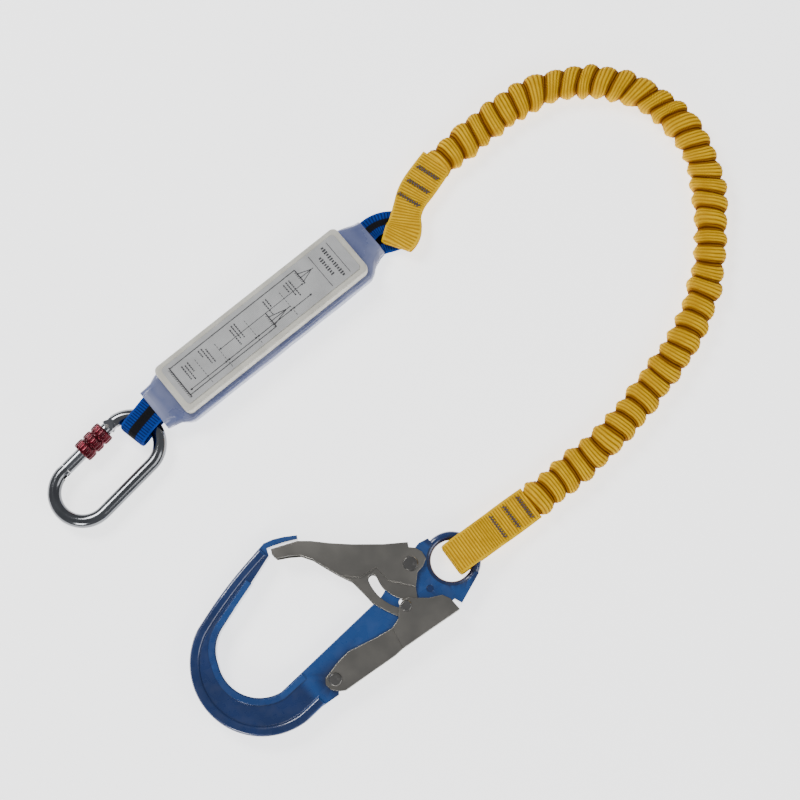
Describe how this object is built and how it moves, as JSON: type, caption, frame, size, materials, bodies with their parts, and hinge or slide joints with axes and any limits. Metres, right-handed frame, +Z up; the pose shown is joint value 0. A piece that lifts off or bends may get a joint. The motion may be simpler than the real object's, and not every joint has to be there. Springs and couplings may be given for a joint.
{
  "type": "shock absorbing lanyard",
  "caption": "Elastic webbing fall-arrest lanyard with a film-wrapped tear-webbing absorber, an oval screw-gate carabiner and a wide-gate anchor hook",
  "frame": {"origin": "on the floor, under the middle of the box round everything but the elastic leg", "axes": "+Z up from the floor the lanyard lies on; +Y from the hook towards the top of the leg's bend; +X from the carabiner towards the hook"},
  "size_m": [0.5473, 0.5481, 0.0296],
  "materials": {
    "zinc_steel": "bright zinc plate",
    "pin_steel": "ground",
    "spring_steel": "drawn wire",
    "red_anodised": "deep red anodised, satin",
    "tear_webbing": "folded woven webbing",
    "shrink_film": "translucent lavender film",
    "label_pad": "soft off-white, rounded",
    "label_card": "printed grey label",
    "blue_webbing": "woven polyester, black centre stripe",
    "yellow_webbing": "ribbed woven polyester",
    "tack_thread": "zigzag thread",
    "elastic_rubber": "covered elastic",
    "blue_enamel": "gloss blue enamel",
    "stamped_steel": "satin zinc plate",
    "rivet_steel": "domed and polished"
  },
  "bodies": {
    "absorber": {"absorber_loop_carabiner_end": "blue_webbing", "absorber_loop_lanyard_end": "blue_webbing", "tear_webbing_core": "tear_webbing", "shrink_film": "shrink_film", "label_pad": "label_pad", "label_card": "label_card"},
    "carabiner": {"carabiner_body": "zinc_steel", "gate_hinge_pin": "pin_steel"},
    "carabiner_gate": {"carabiner_gate": "zinc_steel", "gate_latch_pin": "pin_steel", "gate_plunger": "pin_steel", "gate_spring": "spring_steel"},
    "lock_sleeve": {"lock_sleeve": "red_anodised"},
    "lanyard_leg": {"lanyard_eye_absorber_end": "yellow_webbing", "bar_tacks_absorber_end": "tack_thread", "elastic_webbing": "yellow_webbing", "elastic_core": "elastic_rubber", "lanyard_eye_hook_end": "yellow_webbing", "bar_tacks_hook_end": "tack_thread"},
    "hook": {"hook_body": "blue_enamel", "gate_rivet": "rivet_steel", "lever_pivot_rivet": "rivet_steel", "hook_gate_spring": "spring_steel", "lever_spring": "spring_steel"},
    "hook_gate": {"hook_gate": "stamped_steel"},
    "lock_lever": {"lock_lever": "stamped_steel", "lever_guide_rivet": "rivet_steel"}
  },
  "joints": [
    {"name": "carabiner_swing", "type": "hinge", "parent": "absorber", "child": "carabiner", "pos_m": [-0.11932, 0.01415, 0.0108], "axis": [0.8526, -0.5225, 0], "range_deg": [-80, 80]},
    {"name": "carabiner_gate_hinge", "type": "hinge", "parent": "carabiner", "child": "carabiner_gate", "pos_m": [-0.14915, 0.01002, 0.0108], "axis": [0, 0, 1], "range_deg": [0, 25], "stiffness_Nm_per_rad": 0.05, "springref_deg": -28.65},
    {"name": "sleeve_travel", "type": "slide", "parent": "carabiner_gate", "child": "lock_sleeve", "axis": [0.6884, 0.7254, 0], "range_m": [-0.0206, 0]},
    {"name": "interlink_swing", "type": "hinge", "parent": "absorber", "child": "lanyard_leg", "pos_m": [0.088, 0.175, 0.011], "axis": [0, 0, 1], "range_deg": [-6, 6]},
    {"name": "hook_swing", "type": "hinge", "parent": "lanyard_leg", "child": "hook", "pos_m": [0.13728, -0.08721, 0.011], "axis": [0.5878, -0.809, 0], "range_deg": [-80, 80]},
    {"name": "hook_gate_hinge", "type": "hinge", "parent": "hook", "child": "hook_gate", "pos_m": [0.09222, -0.09933, 0.011], "axis": [0, 0, 1], "range_deg": [0, 50], "stiffness_Nm_per_rad": 0.12, "springref_deg": -28.65, "deforming": ["hook_gate_spring"]},
    {"name": "lock_lever_hinge", "type": "hinge", "parent": "hook", "child": "lock_lever", "pos_m": [0.03427, -0.18855, 0.011], "axis": [0, 0, 1], "range_deg": [0, 2.75], "stiffness_Nm_per_rad": 0.6, "springref_deg": -17.19, "deforming": ["lever_spring"]}
  ]
}
